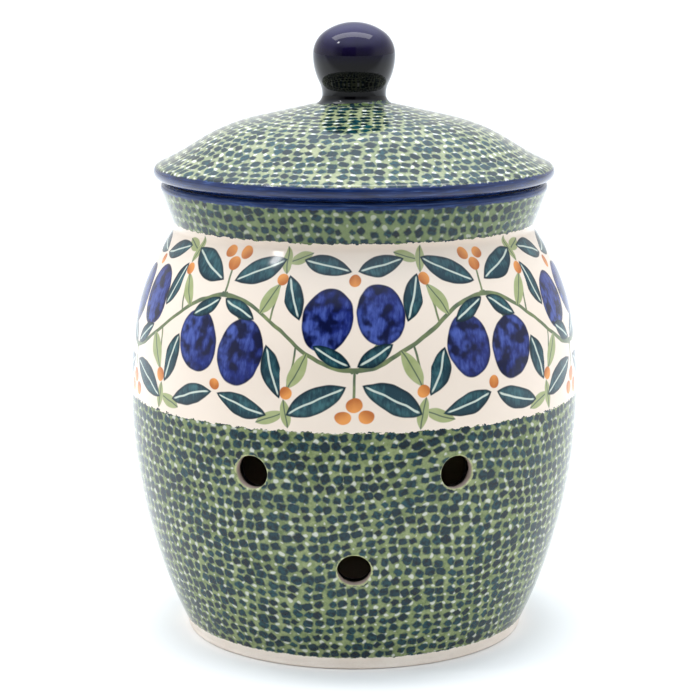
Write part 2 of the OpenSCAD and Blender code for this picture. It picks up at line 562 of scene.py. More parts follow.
def past_box(mix: Mixer, local: Any, half: tuple[float, float, float]) -> Any:
    """How far a point lies outside a box: the length of max(|p| - half, 0).

    Args:
        mix: the tree to add to.
        local: point as seen from the box's middle.
        half: half sizes of the box.

    Returns:
        Distance, 0 inside.
    """
    local = mix.add("VectorMath.ABSOLUTE", local)
    local = mix.add("VectorMath.SUBTRACT", local, half)
    local = mix.add("VectorMath.MAXIMUM", local, (0.0, 0.0, 0.0))
    return mix.add("VectorMath.LENGTH", local)


def nearest(mix: Mixer, strokes: list[tuple[Any, Any]]) -> tuple[Any, Any]:
    """Keeps the closest of several strokes: the least field, with the trait that goes with it.

    Args:
        mix: the tree to add to.
        strokes: pairs of a field and a trait.

    Returns:
        The least field and its trait.
    """
    away, trait = strokes[0]
    for other, mark in strokes[1:]:
        trait = mix.add("Mix", mix.add("Math.LESS_THAN", other, away), trait, mark)
        away = mix.add("Math.MINIMUM", other, away)
    return away, trait


@dataclass(frozen=True)
class SpongedDabs:
    """Slate dabs stamped with a cut sponge over leaf green, with specks of cream slip between them.

    Dabs sit on a slack lattice: rows one row height apart along the outline, and in each row a
    whole number of cells round the pot. The swell gives the distance from the axis at a reach s as
    a + b s + c s^2, and the slack gives the size and swing of each noise that shifts the rows. A
    dab is a rounded, turned square, and its field is the distance to its edge in cells: the length
    of max(|p| - half, 0) less its rounding. Specks sit at the corners between cells. Lengths from
    half on are in cells.
    """

    pitch: float = 4.9
    row_height: float = 4.4
    swell: tuple[float, float, float] = (75.0, 0.4652, -0.002254)
    slack: tuple[tuple[float, float], ...] = ((62.0, 13.0), (4.2, 1.7))
    grain_mm: float = 1.5
    cloud_mm: float = 11.0
    slate: str = "#0B2632"
    teal: str = "#17464E"
    deep: str = "#04131A"
    leaf: str = "#607143"
    olive: str = "#909B6B"
    shade: str = "#667A52"
    cream: str = "#C7C9BC"
    half: tuple[float, float, float] = (0.172, 0.142, 0.0)
    lean: float = 0.41
    jitter: float = 0.32
    tilt: float = 0.85
    rounding: float = 0.14
    spread: float = 0.16
    fill: float = 0.18
    rag: float = 0.22
    drift: float = 0.14
    speck_jitter: float = 0.3
    speck_spin: float = 9.0
    speck_squeeze: tuple[float, float, float] = (0.85, 1.15, 0.0)
    speck_radii: tuple[float, float] = (0.07, 0.25)
    speck_rag: float = 0.2
    lush_shrink: float = 0.04
    lush_specks: float = 0.6
    lush_shade: float = 0.6

    def lattice(self, mix: FinishMixer, turn: Any, row: Any, shift: float) -> tuple[Any, Any]:
        """Where a point lies in a row of cells.

        The number of cells is the whole number nearest to the row's girth over the pitch, and each
        row starts a little on.

        Args:
            mix: the tree to add to.
            turn: share of a turn round the axis.
            row: number of the row.
            shift: how far above the row's number its middle lies, in rows.

        Returns:
            Column coordinate and the number of cells.
        """
        a, b, c = (TURN / self.pitch * term for term in self.swell)
        along = mix.add("Math.MULTIPLY_ADD", row, self.row_height, self.row_height * shift)
        bend = mix.add("Math.MULTIPLY_ADD", along, c, b)
        cells = mix.add("Math.ROUND", mix.add("Math.MULTIPLY_ADD", along, bend, a))
        lean = mix.add("Math.MULTIPLY", row, self.lean)
        return mix.add("Math.MULTIPLY_ADD", turn, cells, lean), cells

    def chances(
        self, mix: FinishMixer, cell: Any, row: Any, cells: Any, seed: float
    ) -> tuple[Any, Any, Any, Any]:
        """Four chance values for one cell, the same on both sides of the map's seam.

        Args:
            mix: the tree to add to.
            cell: number of the cell in its row.
            row: number of the row.
            cells: how many cells the row has.
            seed: sets one use of the lattice apart from another.

        Returns:
            Four sockets from 0 to 1.
        """
        most_cells = 613.0
        home = mix.add("Math.FLOORED_MODULO", cell, cells)
        key = mix.add("Math.ADD", mix.add("Math.MULTIPLY_ADD", row, most_cells, home), seed)
        first = mix.add("TexWhiteNoise", key, noise_dimensions="1D", out="Value")
        red = mix.add("SeparateColor", first.node.outputs["Color"], out="Red")
        return first, red, red.node.outputs["Green"], red.node.outputs["Blue"]

    def field(self, mix: FinishMixer, turn: Any, line: Any) -> tuple[Any, Any]:
        """Distance to the nearest dab, and that dab's chance value.

        Args:
            mix: the tree to add to.
            turn: share of a turn round the axis.
            line: distance along the outline in rows.

        Returns:
            Field in cells, 0 at the edge of a middling dab, and a chance from 0 to 1.
        """
        row_low = mix.add("Math.FLOOR", mix.add("Math.SUBTRACT", line, 0.5))
        shift = 0.5 - self.jitter / 2
        dabs = []
        for up in (0.0, 1.0):
            row = mix.add("Math.ADD", row_low, up)
            column, cells = self.lattice(mix, turn, row, 0.5)
            cell_low = mix.add("Math.FLOOR", mix.add("Math.SUBTRACT", column, 0.5))
            for over in (0.0, 1.0):
                cell = mix.add("Math.ADD", cell_low, over)
                chance, east, north, size = self.chances(mix, cell, row, cells, 0.0)
                offset = []
                for here, home, slip in ((column, cell, east), (line, row, north)):
                    middle = mix.add("Math.MULTIPLY_ADD", slip, self.jitter, home)
                    away = mix.add("Math.SUBTRACT", here, middle)
                    offset.append(mix.add("Math.SUBTRACT", away, shift))
                tilt = mix.add("Math.MULTIPLY_ADD", chance, 2 * self.tilt, -self.tilt)
                local = mix.add("CombineXYZ", *offset, 0.0)
                local = mix.add("VectorRotate.Z_AXIS", local, None, tilt)
                away = past_box(mix, local, self.half)
                dabs.append((mix.add("Math.MULTIPLY_ADD", size, -self.spread, away), chance))
        away, chance = nearest(mix, dabs)
        return mix.add("Math.SUBTRACT", away, self.rounding), chance

    def specks(self, mix: FinishMixer, turn: Any, line: Any) -> Any:
        """Field of the cream specks: the length of a turned, squeezed offset, less a chance radius.

        Args:
            mix: the tree to add to.
            turn: share of a turn round the axis.
            line: distance along the outline in rows.

        Returns:
            Field in cells, negative on a speck.
        """
        row = mix.add("Math.ROUND", line)
        column, cells = self.lattice(mix, turn, row, 0.0)
        cell = mix.add("Math.ROUND", column)
        chance, east, north, size = self.chances(mix, cell, row, cells, 0.43)
        offset = []
        for here, home, slip in ((column, cell, east), (line, row, north)):
            away = mix.add("Math.ADD", mix.add("Math.SUBTRACT", here, home), self.speck_jitter / 2)
            offset.append(mix.add("Math.MULTIPLY_ADD", slip, -self.speck_jitter, away))
        local = mix.add("CombineXYZ", *offset, 0.0)
        spin = mix.add("Math.MULTIPLY", chance, self.speck_spin)
        local = mix.add("VectorRotate.Z_AXIS", local, None, spin)
        local = mix.add("VectorMath.MULTIPLY", local, self.speck_squeeze)
        radius = mix.add("MapRange", size, 0.0, 1.0, *self.speck_radii)
        return mix.add("Math.SUBTRACT", mix.add("VectorMath.LENGTH", local), radius)

    def colour(self, mix: FinishMixer, turn: Any, reach: Any, lush: Any = None) -> Any:
        """Mixes the mosaic's colour.

        Args:
            mix: the tree to add to.
            turn: share of a turn round the axis, already slackened.
            reach: distance along the outline in millimetres, already slackened.
            lush: where the green lies thicker and hides the specks, 0 to 1, or None.

        Returns:
            Colour socket.
        """
        line = mix.add("Math.MULTIPLY", reach, 1 / self.row_height)
        grain = mix.add("TexNoise", mix.place, 1 / (self.grain_mm * MM), 2.0, 0.6)
        cloud = mix.add("TexNoise", mix.place, 1 / (self.cloud_mm * MM), 2.0, 0.6)
        away, chance = self.field(mix, turn, line)
        away = mix.add("Math.SUBTRACT", away, self.fill)
        away = mix.add("Math.MULTIPLY_ADD", grain, self.rag, away)
        away = mix.add("Math.MULTIPLY_ADD", cloud, self.drift, away)
        green = mix.add("MapRange", mix.add("Math.ADD", cloud, grain), 0.7, 1.25)
        ground = mix.add("Mix.RGBA", green, self.leaf, self.olive)
        speck = mix.add("Math.MULTIPLY_ADD", grain, self.speck_rag, self.specks(mix, turn, line))
        slip = mix.add("MapRange.SMOOTHSTEP", speck, 0.16, 0.02)
        if lush is not None:
            away = mix.add("Math.MULTIPLY_ADD", lush, self.lush_shrink, away)
            left = mix.add("MapRange", lush, 0.0, 1.0, 1.0, self.lush_specks)
            slip = mix.add("Math.MULTIPLY", slip, left)
            thick = mix.add("Math.MULTIPLY", lush, self.lush_shade)
            ground = mix.add("Mix.RGBA", thick, ground, self.shade)
        ground = mix.add("Mix.RGBA", slip, ground, self.cream)
        tone = mix.add("Mix.RGBA", chance, self.slate, self.teal)
        wet = mix.add("MapRange", grain, 0.38, 0.62, 0.0, 0.85)
        tone = mix.add("Mix.RGBA", wet, tone, self.deep)
        dab = mix.add("MapRange.SMOOTHSTEP", away, 0.12, -0.1)
        return mix.add("Mix.RGBA", dab, ground, tone)

    def smear(
        self, mix: FinishMixer, grain: tuple[float, float, float], turns: tuple[float, float]
    ) -> tuple[Any, Any]:
        """Mixes stray sponge marks without a lattice, for where the sponge slips over an edge.

        Args:
            mix: the tree to add to.
            grain: size in millimetres, detail and roughness of the noise.
            turns: values of the noise between which leaf turns to slate.

        Returns:
            Colour socket, and the noise.
        """
        size, detail, rough = grain
        blot = mix.add("TexNoise", mix.place, 1 / (size * MM), detail, rough)
        dab = mix.add("MapRange", blot, *turns)
        return mix.add("Mix.RGBA", dab, self.leaf, self.slate), blot


@dataclass(frozen=True)
class Stroke:
    """One stroke of the frieze: its middle, turn in degrees, half length and half width."""

    x: float
    y: float
    turn: float
    length: float
    width: float

    def local(self, mix: Mixer, point: Any) -> Any:
        """Returns a point as seen from the stroke: moved to its middle, then turned back."""
        moved = mix.add("VectorMath.SUBTRACT", point, (self.x, self.y, 0.0))
        return mix.add("VectorRotate.Z_AXIS", moved, None, math.radians(-self.turn))

    def leaf(self, mix: Mixer, point: Any) -> tuple[Any, Any]:
        """A leaf: the overlap of two equal circles, |y| + big - width from the centre of one.

        Args:
            mix: the tree to add to.
            point: point in the cell.

        Returns:
            Field in millimetres and the signed distance from the midrib.
        """
        big = (self.length**2 + self.width**2) / (2 * self.width)
        local = self.local(mix, point)
        folded = mix.add("VectorMath.ABSOLUTE", local)
        folded = mix.add("VectorMath.ADD", folded, (0.0, big - self.width, 0.0))
        away = mix.add("Math.SUBTRACT", mix.add("VectorMath.LENGTH", folded), big)
        return away, mix.add("SeparateXYZ", local, out="Y")

    def twig(self, mix: Mixer, point: Any) -> Any:
        """Returns the field of a twig in millimetres: past a box without width, less its width."""
        away = past_box(mix, self.local(mix, point), (self.length, 0.0, 0.0))
        return mix.add("Math.SUBTRACT", away, self.width)

    def fruit(self, mix: Mixer, point: Any) -> tuple[Any, Any]:
        """A fruit: the length of the point in units of the stroke's half sizes, less 1.

        Args:
            mix: the tree to add to.
            point: point in the cell.

        Returns:
            Field in millimetres and how far up its lit side a point lies, from -1 to 1.
        """
        lit_side = (-0.64, 0.77, 0.0)
        local = self.local(mix, point)
        local = mix.add("VectorMath.DIVIDE", local, (self.width, self.length, 1.0))
        mean = math.sqrt(self.width * self.length)
        away = mix.add("VectorMath.LENGTH", local)
        lit = mix.add("VectorMath.DOT_PRODUCT", local, lit_side, out="Value")
        return mix.add("Math.MULTIPLY_ADD", away, mean, -mean), lit


def lay(mix: Mixer, under: Any, tone: Any, away: Any, soft: float) -> Any:
    """Lays a tone inside a stroke, with a soft edge, over what is there.

    Args:
        mix: the tree to add to.
        under: colour that is there.
        tone: the stroke's colour.
        away: the stroke's field in millimetres.
        soft: half width of its edge.

    Returns:
        Colour socket.
    """
    return mix.add("Mix.RGBA", mix.add("MapRange.SMOOTHSTEP", away, soft, -soft), under, tone)


@dataclass(frozen=True)
class VineFrieze:
    """A running vine with plums, leaves and berries, brushed on the cream band.

    The band is cut into an even number of cells. The vine is one half wave per cell,
    y = rise * cos(pi x / cell width), and every second cell hangs upside down, so the vine runs on
    smoothly. All strokes are distance fields in millimetres in a cell's own coordinates. Leaves,
    berries and twigs come in pairs, left and right of the cell's middle.
    """

    cells: int = 10
    cell_width: float = 59.5
    rise: float = 14.0
    stem: float = 0.85
    slant: float = 0.85
    wash_mm: float = 5.0
    cloud_mm: float = 34.0
    bristle: tuple[float, float] = (1.3, 4.5)
    wobble: tuple[tuple[float, float], ...] = ((30.0, 5.0), (9.0, 1.3))
    ground: str = "#F4E4D3"
    ground_shade: str = "#EDDCCB"
    # Tint of the painted shadow under the collar
    under_collar_painted_shadow: str = "#DACDBF"
    cobalt: str = "#1F2B70"
    cobalt_light: str = "#4C5FAA"
    cobalt_deep: str = "#070C2C"
    teal: str = "#1B3A45"
    teal_light: str = "#3D6A6F"
    teal_deep: str = "#0A1C25"
    spring: str = "#B3B988"
    spring_deep: str = "#949E66"
    orange: str = "#E8994F"
    orange_deep: str = "#BE6C33"
    vein: str = "#CBD5C8"
    plums: tuple[Stroke, ...] = (
        Stroke(-11.0, -6.0, 8, 13.0, 10.6),
        Stroke(11.2, -8.6, -11, 13.2, 10.4),
    )
    leaves: tuple[Stroke, ...] = (
        Stroke(15.0, 26.5, 27, 13.6, 5.6),
        Stroke(12.6, -29.6, -16, 11.6, 4.6),
        Stroke(26.0, -15.5, -72, 10.6, 4.3),
        Stroke(8.6, 8.4, -30, 8.6, 3.5),
    )
    sprigs: tuple[Stroke, ...] = (
        Stroke(22.6, 14.2, 62, 8.2, 3.2),
        Stroke(25.4, -33.6, 20, 6.4, 2.6),
        Stroke(27.4, 32.0, 100, 6.2, 2.4),
    )
    berries: tuple[Stroke, ...] = (
        Stroke(0.0, 28.2, 0, 3.2, 3.2),
        Stroke(4.3, 33.4, 0, 2.9, 2.9),
        Stroke(27.2, 23.4, 0, 2.7, 2.7),
        Stroke(0.0, -22.6, 0, 2.6, 2.6),
    )
    twigs: tuple[Stroke, ...] = (
        Stroke(5.2, 9.4, 128, 7.0, 0.6),
        Stroke(0.0, 20.0, 90, 6.0, 0.5),
        Stroke(25.2, 13.0, 80, 8.6, 0.45),
    )

    def cell(self, mix: FinishMixer, turn: Any, reach: Any, middle: float) -> tuple[Any, Any]:
        """Coordinates inside one cell of the band.

        Args:
            mix: the tree to add to.
            turn: share of a turn round the axis.
            reach: distance along the outline in millimetres.
            middle: that distance at the middle of the band.

        Returns:
            Point in the cell in millimetres, upside down in every second cell, and the same point
            with its left half folded over on its right.
        """
        along = mix.add("Math.MULTIPLY", turn, float(self.cells))
        number = mix.add("Math.FLOOR", along)
        across = mix.add("Math.SUBTRACT", along, number)
        x = mix.add("Math.MULTIPLY_ADD", across, self.cell_width, -self.cell_width / 2)
        odd = mix.add("Math.FLOORED_MODULO", number, 2.0)
        sign = mix.add("Math.MULTIPLY_ADD", odd, -2.0, 1.0)
        y = mix.add("Math.MULTIPLY", mix.add("Math.SUBTRACT", reach, middle), sign)
        folded = mix.add("CombineXYZ", mix.add("Math.ABSOLUTE", x), y, 0.0)
        return mix.add("CombineXYZ", x, y, 0.0), folded

    def thin(self, mix: FinishMixer, point: Any) -> Any:
        """All thin strokes: the vine and the twigs.

        Args:
            mix: the tree to add to.
            point: point in the cell.

        Returns:
            Field in millimetres.
        """
        x = mix.add("SeparateXYZ", point, out="X")
        phase = mix.add("Math.MULTIPLY", x, math.pi / self.cell_width)
        wave = mix.add("Math.COSINE", phase)
        off = mix.add("Math.MULTIPLY_ADD", wave, -self.rise, x.node.outputs["Y"])
        off = mix.add("Math.ABSOLUTE", off)
        away = mix.add("Math.MULTIPLY_ADD", off, self.slant, -self.stem)
        for twig in self.twigs:
            away = mix.add("Math.MINIMUM", away, twig.twig(mix, point))
        return away

    def colour(self, mix: FinishMixer, turn: Any, reach: Any, middle: float) -> Any:
        """Paints the band: thin strokes first, then sprigs, plums, leaves and berries.

        Args:
            mix: the tree to add to.
            turn: share of a turn round the axis, with the hand's wobble.
            reach: distance along the outline in millimetres, with the hand's wobble.
            middle: that distance at the middle of the band.

        Returns:
            Colour socket.
        """
        point, folded = self.cell(mix, turn, reach, middle)
        wash = mix.add("TexNoise", mix.place, 1 / (self.wash_mm * MM), 1.5, 0.5)
        across = mix.add("Math.MULTIPLY", turn, self.cells * self.cell_width / self.bristle[0])
        along = mix.add("Math.MULTIPLY", reach, 1 / self.bristle[1])
        brush = mix.add("TexNoise", mix.add("CombineXYZ", across, along, 0.0), 1.0, 2.0, 0.6)
        mottle = mix.add("Math.MULTIPLY_ADD", brush, 0.9, wash)
        cloud = mix.add("TexNoise", mix.place, 1 / (self.cloud_mm * MM), 3.0, 0.6)
        paint = mix.add("Mix.RGBA", cloud, self.ground, self.ground_shade)

        tone = mix.add("Mix.RGBA", wash, self.teal, self.spring_deep)
        paint = lay(mix, paint, tone, self.thin(mix, folded), 0.18)

        away, side = nearest(mix, [sprig.leaf(mix, folded) for sprig in self.sprigs])
        tone = mix.add("Mix.RGBA", wash, self.spring, self.spring_deep)
        rib = mix.add("MapRange", mix.add("Math.ABSOLUTE", side), 0.45, 0.15, 0.0, 0.7)
        tone = mix.add("Mix.RGBA", rib, tone, self.teal)
        paint = lay(mix, paint, tone, away, 0.25)

        away, lit = nearest(mix, [plum.fruit(mix, point) for plum in self.plums])
        shine = mix.add("MapRange", mix.add("Math.MULTIPLY_ADD", lit, 0.22, mottle), 0.85, 1.35)
        tone = mix.add("Mix.RGBA", shine, self.cobalt, self.cobalt_light)
        blotch = mix.add("MapRange.SMOOTHSTEP", wash, 0.56, 0.36, 0.0, 0.9)
        tone = mix.add("Mix.RGBA", blotch, tone, self.cobalt_deep)
        rim = mix.add("MapRange", away, -1.6, -0.2, 0.0, 0.7)
        tone = mix.add("Mix.RGBA", rim, tone, self.cobalt_deep)
        paint = lay(mix, paint, tone, away, 0.3)

        away, side = nearest(mix, [leaf.leaf(mix, folded) for leaf in self.leaves])
        light = mix.add("MapRange", mix.add("Math.MULTIPLY_ADD", side, 0.03, mottle), 0.85, 1.3)
        tone = mix.add("Mix.RGBA", light, self.teal, self.teal_light)
        rim = mix.add("MapRange", away, -1.5, -0.2, 0.0, 0.8)
        tone = mix.add("Mix.RGBA", rim, tone, self.teal_deep)
        rib = mix.add("MapRange", mix.add("Math.ABSOLUTE", side), 0.55, 0.25)
        rib = mix.add("Math.MULTIPLY", rib, mix.add("MapRange", away, -0.7, -1.4))
        tone = mix.add("Mix.RGBA", rib, tone, self.vein)
        paint = lay(mix, paint, tone, away, 0.25)

        away, lit = nearest(mix, [berry.fruit(mix, folded) for berry in self.berries])
        shine = mix.add("MapRange", mix.add("Math.MULTIPLY_ADD", wash, 1.2, lit), -0.2, 1.2)
        tone = mix.add("Mix.RGBA", shine, self.orange_deep, self.orange)
        return lay(mix, paint, tone, away, 0.25)


@dataclass(frozen=True)
class CobaltBand:
    """Cobalt slip banded on with a loaded brush on the wheel: mid blue, streaked along the turn."""

    blue: str = "#253E72"
    deep: str = "#14244C"
    light: str = "#506C9E"
    streak_mm: float = 0.9
    streaks: float = 7.0

    def colour(self, mix: FinishMixer, turn: Any, reach: Any) -> Any:
        """Mixes the banded blue.

        Args:
            mix: the tree to add to.
            turn: share of a turn round the axis.
            reach: distance along the outline in millimetres.

        Returns:
            Colour socket.
        """
        circle = mix.add("Math.MULTIPLY", turn, TURN)
        east = mix.add("Math.MULTIPLY", mix.add("Math.COSINE", circle), self.streaks)
        north = mix.add("Math.MULTIPLY", mix.add("Math.SINE", circle), self.streaks)
        way = mix.add("CombineXYZ", east, north, reach)
        streak = mix.add("TexNoise", way, 1 / self.streak_mm, 3.0, 0.6)
        full = mix.add("MapRange", streak, 0.35, 0.6)
        tone = mix.add("Mix.RGBA", full, self.deep, self.blue)
        pale = mix.add("MapRange", streak, 0.6, 0.74, 0.0, 0.8)
        return mix.add("Mix.RGBA", pale, tone, self.light)


@dataclass(frozen=True)
class VentGlaze:
    """Glaze at a vent: it pools pale on the edge and leaves the bore pinkish; deeper in, the bore
    is painted near black as painted shade.
    """

    pool: str = "#D9DCA0"
    bore: str = "#C4AFA3"
    # Near black of the painted shade deep in the bore
    bore_painted_shade: str = "#0A0807"

    def colour(self, mix: FinishMixer, under: Any, fray: Any) -> Any:
        """Lays the vents' bands over a colour, by the distance from a vent's edge.

        Args:
            mix: the tree to add to.
            under: colour of the wall.
            fray: noise that makes the bands wander.

        Returns:
            Colour socket.
        """
        depth = mix.add("Attribute", attribute_name="vent_edge", out="Fac")
        wave = mix.add("Math.MULTIPLY_ADD", fray, 1.0, mix.add("Math.SUBTRACT", depth, 0.5))
        wide = mix.add("Math.MULTIPLY_ADD", fray, 1.6, wave)
        bands = (
            (wide, (0.8, 0.3, 0.0, 0.6), self.pool),
            (wave, (-0.75, -1.3), self.bore),
            # Painted shade: deep in the bore the colour turns near black, standing in for the dark
            # inside the hole
            (wave, (-2.9, -4.1), self.bore_painted_shade),
        )
        for away, limits, tone in bands:
            share = mix.add("MapRange", away, *limits)
            under = mix.add("Mix.RGBA", share, under, tone)
        return under


@dataclass(frozen=True)
class DarkCobalt:
    """Dark cobalt gloss glaze, near black where thick; the violet top is thin glaze and painted
    sheen.
    """

    thick: str = "#040306"
    violet: str = "#221845"
    # Heights over the base where the violet of thin glaze and painted sheen rises
    thin_and_sheen_from: float = 17.0
    thin_and_sheen_to: float = 33.0
    cloud_mm: float = 8.0
    foot_line: float = 0.9
    foot_slant: float = 0.06
    foot_wander: float = 1.6
    glaze: ClearGlaze = ClearGlaze(ior=1.36, gloss=0.06)

    def material(self, base: float) -> bpy.types.Material:
        """Mixes the glaze, which stops short of the sponged foot on a slanting line.

        Args:
            base: height that the knob stands at.

        Returns:
            The finished material.
        """
        mix = FinishMixer("dark_cobalt_glazed_stoneware")
        x = mix.add("SeparateXYZ", mix.place, out="X")
        z = x.node.outputs["Z"]
        cloud = mix.add("TexNoise", mix.place, 1 / (self.cloud_mm * MM), 3.0, 0.6)
        # Painted sheen and thin glaze: violet rises with height over the top, where the top catches
        # the light
        thin = mix.add("MapRange", z, (base + self.thin_and_sheen_from) * MM, (base + self.thin_and_sheen_to) * MM)
        thin = mix.add("Math.MULTIPLY", thin, mix.add("Math.ADD", cloud, 0.5))
        colour = mix.add("Mix.RGBA", thin, self.thick, self.violet)
        sponged, blot = SpongedDabs().smear(mix, (2.8, 2.0, 0.6), (0.47, 0.53))
        height = mix.add("Math.MULTIPLY_ADD", x, -self.foot_slant, z)
        height = mix.add("Math.MULTIPLY_ADD", blot, self.foot_wander * MM, height)
        line = (base + self.foot_line + self.foot_wander / 2) * MM
        foot = mix.add("MapRange", height, line + 0.15 * MM, line - 0.15 * MM)
        return self.glaze.coat(mix, mix.add("Mix.RGBA", foot, colour, sponged))


@dataclass
class Vents:
    """Round holes square to the belly: one low and two above it, in front and behind."""

    width: float = 14.0
    high: float = 89.0
    low: float = 48.0
    spread: float = 25.3
    groups: int = 2
    fillet: float = 0.8
    half_block: int = 5
    flat_rings: int = 6
    fillet_rings: int = 5
    bore_rings: int = 3
    crowding: float = 1.4


@dataclass
class Jar:
    """The thrown jar: foot ring, barrel wall with vents, shoulder, neck, flared collar and rim.

    The belly is a hair narrower than the solid's 198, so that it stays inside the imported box.
    """

    height: float = 199.0
    belly_d: float = 197.96
    belly_h: float = 105.0
    shoulder_r: float = 98.0
    neck_d: float = 157.0
    collar_h: float = 20.0
    collar_flare: float = 19.4
    neck_round: float = 3.0
    wall: float = 6.2
    rim_round: float = 2.2
    lip_round: float = 1.5
    foot_d: float = 150.0
    foot_h: float = 2.2
    foot_w: float = 9.0
    foot_strip: float = 3.0
    foot_round: float = 0.9
    recess_h: float = 1.8
    recess_inset: float = 8.0
    floor_t: float = 8.0
    floor_round: float = 14.0
    glaze_line: float = 5.5
    mosaic_top: float = 107.7
    band_top: float = 181.9
    rim_band: float = 195.9
    mean_r: float = 95.0
    pierced_from: float = -0.36
    pierced_rows: int = 47
    columns: int = 256

    def __post_init__(self) -> None:
        """Works out the arcs from the driving sizes: each leaves the last one smoothly."""
        out, drop = (self.belly_d - self.foot_d) / 2, self.belly_h - self.foot_h
        self.arc_r = (out**2 + drop**2) / (2 * out)
        self.arc_c = np.array([self.belly_d / 2 - self.arc_r, self.belly_h])
        self.foot_a = math.asin(-drop / self.arc_r)
        self.neck = np.array([self.neck_d / 2, self.height - self.collar_h])
        to_neck, arm = self.neck - self.arc_c, self.arc_r - self.shoulder_r
        far = np.linalg.norm(to_neck)
        self.shoulder_a = angle(to_neck) - math.acos(
            (far**2 + arm**2 - self.shoulder_r**2) / (2 * arm * far)
        )
        self.shoulder_c = self.arc_c + arm * toward(self.shoulder_a)
        flare = math.radians(self.collar_flare)
        up = np.array([math.sin(flare), math.cos(flare)])
        self.out = toward(-flare)
        start = self.neck + self.neck_round * self.out - self.shoulder_c
        reach = self.shoulder_r + self.neck_round
        rise = -start @ up + math.sqrt((start @ up) ** 2 - start @ start + reach**2)
        self.neck_c = self.neck + self.neck_round * self.out + rise * up
        self.neck_dir = unit(self.neck_c - self.shoulder_c)
        self.rim_c = self.collar_at(self.rim_round, self.height - self.rim_round)
        self.lip_c = self.collar_at(self.wall - self.lip_round, self.height - self.lip_round)
        self.rim_r = self.rim_c[0] + self.rim_round
        self.floor_z = self.recess_h + self.floor_t
        arm = self.arc_r - self.wall - self.floor_round
        z = self.floor_z + self.floor_round
        self.fillet_c = np.array([self.arc_c[0] + math.sqrt(arm**2 - (z - self.belly_h) ** 2), z])

    def collar_at(self, depth: float, z: float) -> np.ndarray:
        """Finds a point of the collar's section.

        Args:
            depth: how far under the collar's outer face the point lies.
            z: its height.

        Returns:
            Distance from the axis and height.
        """
        flare = math.radians(self.collar_flare)
        out = self.neck[0] + (z - self.neck[1]) * math.tan(flare) - depth / math.cos(flare)
        return np.array([out, z])

    def outline(self) -> tuple[Outline, int, int, np.ndarray]:
        """Draws the section, from the underside's middle round the wall to the floor's middle.

        Returns:
            The outline, the rows where the shared belly angles start outside and end inside, and
            those angles.
        """
        made, coarse, fine = Outline(), 9.0, 0.5
        foot = self.foot_d / 2
        turn_up = self.foot_a + self.foot_strip / self.arc_r
        ring = foot - self.foot_w
        flat = straight((0, self.recess_h), (ring - self.recess_inset, self.recess_h), coarse)
        made.run(flat, Finish.BARE)
        edge = [tuple(flat[-1]), (ring - self.recess_h, self.recess_h), (ring, 0), (foot, 0)]
        edge += [(foot, self.foot_h), tuple(self.arc_c + self.arc_r * toward(turn_up))]
        made.run(soften(edge, self.foot_round), Finish.BARE)
        shared = np.linspace(self.pierced_from, self.shoulder_a, self.pierced_rows)
        split = math.asin((self.mosaic_top - self.belly_h) / self.arc_r)
        rows = int(np.argmin(np.abs(shared - split)))
        shared[rows] = split
        made.run(arc(self.arc_c, self.arc_r, turn_up, shared[0]), Finish.SPONGED)
        wall = np.column_stack((np.cos(shared), np.sin(shared)))
        outer = made.run(self.arc_c + self.arc_r * wall[: rows + 1], Finish.SPONGED)
        made.run(self.arc_c + self.arc_r * wall[rows:], Finish.PAINTED)
        neck_a, out_a = angle(self.neck_dir), angle(self.out)
        shoulder = (self.shoulder_a, neck_a)
        hollow = (neck_a + math.pi, out_a + math.pi)
        made.run(arc(self.shoulder_c, self.shoulder_r, *shoulder), Finish.PAINTED)
        made.run(arc(self.neck_c, self.neck_round, *hollow, fine), Finish.PAINTED)
        split = self.collar_at(0, self.band_top)
        made.run(straight(made.section[-1], split), Finish.PAINTED)
        made.run(straight(split, self.rim_c + self.rim_round * self.out, 2), Finish.SPONGED)
        made.run(arc(self.rim_c, self.rim_round, out_a, math.pi / 2, fine), Finish.SPONGED)
        lip_top = self.lip_c + np.array([0, self.lip_round])
        made.run(straight(made.section[-1], lip_top, 1.3), Finish.BARE)
        made.run(arc(self.lip_c, self.lip_round, math.pi / 2, hollow[1], fine), Finish.LINING)
        throat = self.neck_round + self.wall
        made.run(straight(made.section[-1], self.neck_c - throat * self.out), Finish.LINING)
        made.run(arc(self.neck_c, throat, *hollow[::-1], 1.2), Finish.LINING)
        inner_r = self.shoulder_r - self.wall
        made.run(arc(self.shoulder_c, inner_r, *shoulder[::-1]), Finish.LINING)
        made.run(self.arc_c + (self.arc_r - self.wall) * wall[::-1], Finish.LINING)
        inner = len(made.section) - 1
        turn_in = angle(self.fillet_c - self.arc_c)
        made.run(arc(self.arc_c, self.arc_r - self.wall, shared[0], turn_in), Finish.LINING)
        made.run(arc(self.fillet_c, self.floor_round, turn_in, -math.pi / 2), Finish.LINING)
        made.run(straight(made.section[-1], (0, self.floor_z), coarse), Finish.LINING)
        return made, outer, inner, shared

    def wall_point(
        self, radius: float, middle: tuple[float, float], offset: np.ndarray
    ) -> tuple[np.ndarray, np.ndarray, np.ndarray]:
        """Points of the belly at an offset from a vent's middle, measured along the wall.

        The height angle is the middle's plus the upward offset over the belly's arc radius, and the
        turn is the middle's plus the sideways offset over the distance from the axis.

        Args:
            radius: radius of the belly's arc, outside or inside.
            middle: turn and height angle of the vent's middle.
            offset: sideways and upward offsets in millimetres, in the last axis.

        Returns:
            Points, their turns and their height angles.
        """
        tilt = middle[1] + offset[..., 1] / radius
        away = self.arc_c[0] + radius * np.cos(tilt)
        turn = middle[0] + offset[..., 0] / away
        height = self.arc_c[1] + radius * np.sin(tilt)
        points = np.stack((away * np.sin(turn), -away * np.cos(turn), height), axis=-1)
        return points, turn, tilt

